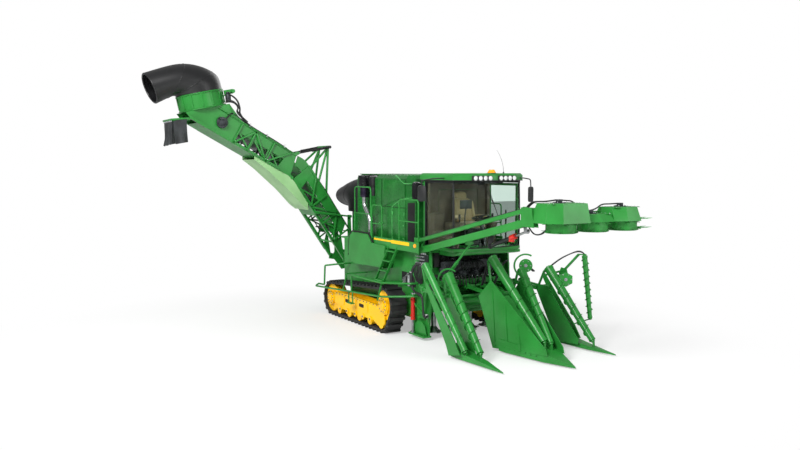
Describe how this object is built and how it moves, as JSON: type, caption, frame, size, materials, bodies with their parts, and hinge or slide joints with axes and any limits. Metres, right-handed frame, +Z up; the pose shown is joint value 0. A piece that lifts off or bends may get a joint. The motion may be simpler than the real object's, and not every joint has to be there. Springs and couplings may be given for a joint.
{
  "type": "two-row tracked sugarcane harvester",
  "caption": "Tracked sugarcane harvester with crop divider scrolls, topper arm, cab, engine housing, extractors and a slewing folding slat elevator.",
  "frame": {"origin": "on the ground under the middle of the whole machine's bounding box", "axes": "+X forward along the machine, +Y to the machine's left, +Z up"},
  "size_m": [10.7698, 8.2568, 6.74],
  "materials": {
    "green_paint": "glossy mid-green enamel on pressed and welded steel",
    "yellow_paint": "yellow enamel",
    "red_paint": "red enamel",
    "black_paint": "satin black enamel",
    "dark_steel": "dark oiled cast iron",
    "worn_steel": "steel worn bright by the crop",
    "track_rubber": "black reinforced rubber belt",
    "hood_plastic": "black moulded polyethylene with a satin skin",
    "flap_rubber": "dark grey rubber sheet",
    "cab_glass": "slightly green laminated glass",
    "seat_cloth": "tan woven cloth over foam",
    "amber_lens": "amber moulded lens",
    "lamp_lens": "clear lens over a bright reflector",
    "mirror_black": "black mirror housing",
    "exhaust_steel": "bare exhaust steel"
  },
  "bodies": {
    "chassis": {"chassis": "green_paint", "track_right": "track_rubber", "track_left": "track_rubber", "track_frame_right": "yellow_paint", "track_frame_left": "yellow_paint", "engine_block": "dark_steel", "engine_housing": "green_paint", "intake_grille": "black_paint", "exhaust_stack": "exhaust_steel", "air_precleaner": "black_paint", "service_panels": "green_paint", "walkways": "green_paint", "side_stripes": "yellow_paint", "amber_lamps": "amber_lens", "guard_rails": "green_paint", "leg_cylinders": "red_paint", "cab_shell": "green_paint", "cab_roof": "green_paint", "roof_lamps": "lamp_lens", "cab_glass": "cab_glass", "cab_seat": "seat_cloth", "mirrors": "mirror_black", "extractor_chamber": "green_paint"},
    "cab_door": {"cab_door": "green_paint", "cab_door_glass": "cab_glass"},
    "elevator_lower": {"elevator_lower": "green_paint", "elevator_chain_lower": "dark_steel"},
    "elevator_upper": {"elevator_upper": "green_paint", "elevator_chain_upper": "dark_steel", "elevator_flaps": "flap_rubber", "discharge_ring": "green_paint"},
    "base_cutter_1": {"base_cutter_1": "worn_steel"},
    "base_cutter_2": {"base_cutter_2": "worn_steel"},
    "base_cutter_3": {"base_cutter_3": "worn_steel"},
    "base_cutter_4": {"base_cutter_4": "worn_steel"},
    "divider_center": {"divider_center": "green_paint"},
    "divider_left": {"divider_left": "green_paint"},
    "divider_right": {"divider_right": "green_paint"},
    "elevator_turret": {"elevator_turret": "green_paint"},
    "extractor_fan": {"extractor_fan": "dark_steel"},
    "extractor_hood": {"extractor_hood": "hood_plastic"},
    "feed_roller": {"feed_roller": "green_paint"},
    "fold_cylinders": {"fold_cylinders": "black_paint"},
    "knockdown_roller": {"knockdown_roller": "green_paint"},
    "lift_stays": {"lift_stays": "green_paint"},
    "scroll_center_left": {"scroll_center_left": "green_paint"},
    "scroll_center_right": {"scroll_center_right": "green_paint"},
    "scroll_left_inner": {"scroll_left_inner": "green_paint"},
    "scroll_right_inner": {"scroll_right_inner": "green_paint"},
    "scroll_right_outer": {"scroll_right_outer": "green_paint"},
    "side_knife": {"side_knife": "green_paint"},
    "top_extractor_hood": {"top_extractor_hood": "hood_plastic"},
    "top_fan": {"top_fan": "dark_steel"},
    "topper_cylinder": {"topper_cylinder": "green_paint"},
    "topper_drum_left": {"topper_drum_left": "green_paint"},
    "topper_drum_right": {"topper_drum_right": "green_paint"},
    "topper_head": {"topper_head": "green_paint"},
    "topper_lower_arm": {"topper_lower_arm": "green_paint"},
    "topper_shredder": {"topper_shredder": "green_paint"},
    "topper_upper_arm": {"topper_upper_arm": "green_paint"}
  },
  "joints": [
    {"name": "base_cutter_1_spin", "type": "hinge", "parent": "chassis", "child": "base_cutter_1", "pos_m": [0.595, 1.3525, 0.13], "axis": [0, 0, 1], "continuous": true},
    {"name": "base_cutter_2_spin", "type": "hinge", "parent": "chassis", "child": "base_cutter_2", "pos_m": [0.595, 1.8725, 0.13], "axis": [0, 0, 1], "continuous": true},
    {"name": "base_cutter_3_spin", "type": "hinge", "parent": "chassis", "child": "base_cutter_3", "pos_m": [0.595, 2.3925, 0.13], "axis": [0, 0, 1], "continuous": true},
    {"name": "base_cutter_4_spin", "type": "hinge", "parent": "chassis", "child": "base_cutter_4", "pos_m": [0.595, 2.9125, 0.13], "axis": [0, 0, 1], "continuous": true},
    {"name": "knockdown_roller_spin", "type": "hinge", "parent": "chassis", "child": "knockdown_roller", "pos_m": [1.205, 2.1325, 0.85], "axis": [0, 1, 0], "continuous": true},
    {"name": "feed_roller_spin", "type": "hinge", "parent": "chassis", "child": "feed_roller", "pos_m": [0.055, 2.1325, 0.93], "axis": [0, 1, 0], "continuous": true},
    {"name": "cab_door_hinge", "type": "hinge", "parent": "chassis", "child": "cab_door", "pos_m": [0.461, 3.0825, 2.9], "axis": [0, 0, 1], "range_deg": [0, 80]},
    {"name": "divider_right_lift", "type": "hinge", "parent": "chassis", "child": "divider_right", "pos_m": [1.135, 0.8225, 1.25], "axis": [0, -1, 0], "range_deg": [0, 10]},
    {"name": "divider_left_lift", "type": "hinge", "parent": "chassis", "child": "divider_left", "pos_m": [1.135, 3.4425, 1.25], "axis": [0, -1, 0], "range_deg": [0, 10]},
    {"name": "divider_center_lift", "type": "hinge", "parent": "chassis", "child": "divider_center", "pos_m": [1.135, 2.1325, 1.25], "axis": [0, -1, 0], "range_deg": [0, 10]},
    {"name": "scroll_right_outer_spin", "type": "hinge", "parent": "divider_right", "child": "scroll_right_outer", "pos_m": [1.765, 0.3925, 1.91], "axis": [-0.6216, -0.0654, 0.7806], "continuous": true},
    {"name": "scroll_right_inner_spin", "type": "hinge", "parent": "divider_right", "child": "scroll_right_inner", "pos_m": [1.995, 0.8425, 1.68], "axis": [-0.6831, 0.0552, 0.7283], "continuous": true},
    {"name": "scroll_center_right_spin", "type": "hinge", "parent": "divider_center", "child": "scroll_center_right", "pos_m": [2.185, 1.8825, 2.02], "axis": [-0.6935, -0.0839, 0.7156], "continuous": true},
    {"name": "scroll_center_left_spin", "type": "hinge", "parent": "divider_center", "child": "scroll_center_left", "pos_m": [2.535, 2.4325, 1.76], "axis": [-0.665, 0.1082, 0.7389], "continuous": true},
    {"name": "scroll_left_inner_spin", "type": "hinge", "parent": "divider_left", "child": "scroll_left_inner", "pos_m": [2.295, 3.4225, 1.71], "axis": [-0.6662, -0.0757, 0.7419], "continuous": true},
    {"name": "side_knife_spin", "type": "hinge", "parent": "divider_left", "child": "side_knife", "pos_m": [2.835, 4.0325, 2.01], "axis": [-0.1473, 0, 0.9891], "continuous": true},
    {"name": "extractor_fan_spin", "type": "hinge", "parent": "chassis", "child": "extractor_fan", "pos_m": [-3.945, 2.1325, 2.56], "axis": [0, 0, 1], "continuous": true},
    {"name": "extractor_hood_turn", "type": "hinge", "parent": "chassis", "child": "extractor_hood", "pos_m": [-3.945, 2.1325, 2.8], "axis": [0, 0, 1], "range_deg": [0, 45]},
    {"name": "elevator_slew", "type": "hinge", "parent": "chassis", "child": "elevator_turret", "pos_m": [-4.745, 2.1325, 0.95], "axis": [0, 0, -1], "range_deg": [0, 180]},
    {"name": "elevator_lift", "type": "hinge", "parent": "elevator_turret", "child": "elevator_lower", "pos_m": [-4.745, 1.4725, 1.35], "axis": [1, 0, 0], "range_deg": [0, 14]},
    {"name": "elevator_fold", "type": "hinge", "parent": "elevator_lower", "child": "elevator_upper", "pos_m": [-4.745, -0.2575, 3.75], "axis": [1, 0, 0], "range_deg": [0, 50]},
    {"name": "fold_cylinder_swing", "type": "hinge", "parent": "elevator_lower", "child": "fold_cylinders", "pos_m": [-4.745, 0.9425, 4.62], "axis": [1, 0, 0], "range_deg": [-17, 0]},
    {"name": "lift_stay_swing", "type": "hinge", "parent": "elevator_lower", "child": "lift_stays", "pos_m": [-4.745, 0.4625, 2.76], "axis": [1, 0, 0], "range_deg": [0, 4]},
    {"name": "top_fan_spin", "type": "hinge", "parent": "elevator_upper", "child": "top_fan", "pos_m": [-4.745, -2.6875, 6.02], "axis": [0, -0.2164, 0.9763], "continuous": true},
    {"name": "top_hood_turn", "type": "hinge", "parent": "elevator_upper", "child": "top_extractor_hood", "pos_m": [-4.745, -2.6875, 6.02], "axis": [0, -0.2164, 0.9763], "range_deg": [-60, 60]},
    {"name": "topper_lift", "type": "hinge", "parent": "chassis", "child": "topper_lower_arm", "pos_m": [0.605, 0.9325, 2.08], "axis": [0, -1, 0], "range_deg": [-8, 15]},
    {"name": "topper_upper_swing", "type": "hinge", "parent": "chassis", "child": "topper_upper_arm", "pos_m": [0.605, 0.9325, 2.32], "axis": [0, -1, 0], "range_deg": [-8, 15]},
    {"name": "topper_head_level", "type": "hinge", "parent": "topper_lower_arm", "child": "topper_head", "pos_m": [4.495, 0.9325, 2.97], "axis": [0, -1, 0], "range_deg": [-15, 8]},
    {"name": "topper_ram_swing", "type": "hinge", "parent": "chassis", "child": "topper_cylinder", "pos_m": [1.355, 1.0825, 1.39], "axis": [0, -1, 0], "range_deg": [-9, 17]},
    {"name": "topper_drum_right_spin", "type": "hinge", "parent": "topper_head", "child": "topper_drum_right", "pos_m": [5.015, 1.3725, 2.97], "axis": [0, 0, 1], "continuous": true},
    {"name": "topper_shredder_spin", "type": "hinge", "parent": "topper_head", "child": "topper_shredder", "pos_m": [5.015, 2.1625, 2.97], "axis": [0, 0, 1], "continuous": true},
    {"name": "topper_drum_left_spin", "type": "hinge", "parent": "topper_head", "child": "topper_drum_left", "pos_m": [5.015, 2.9525, 2.97], "axis": [0, 0, 1], "continuous": true}
  ],
  "couplings": [
    {"joint": "base_cutter_2_spin", "follows": "base_cutter_1_spin", "ratio": -1},
    {"joint": "base_cutter_3_spin", "follows": "base_cutter_1_spin", "ratio": 1},
    {"joint": "base_cutter_4_spin", "follows": "base_cutter_1_spin", "ratio": -1},
    {"joint": "extractor_hood_turn", "follows": "elevator_slew", "ratio": 0.25},
    {"joint": "fold_cylinder_swing", "follows": "elevator_fold", "ratio": -0.33},
    {"joint": "lift_stay_swing", "follows": "elevator_lift", "ratio": 0.2255},
    {"joint": "topper_upper_swing", "follows": "topper_lift", "ratio": 1},
    {"joint": "topper_head_level", "follows": "topper_lift", "ratio": -1},
    {"joint": "topper_ram_swing", "follows": "topper_lift", "ratio": 1.0765}
  ]
}
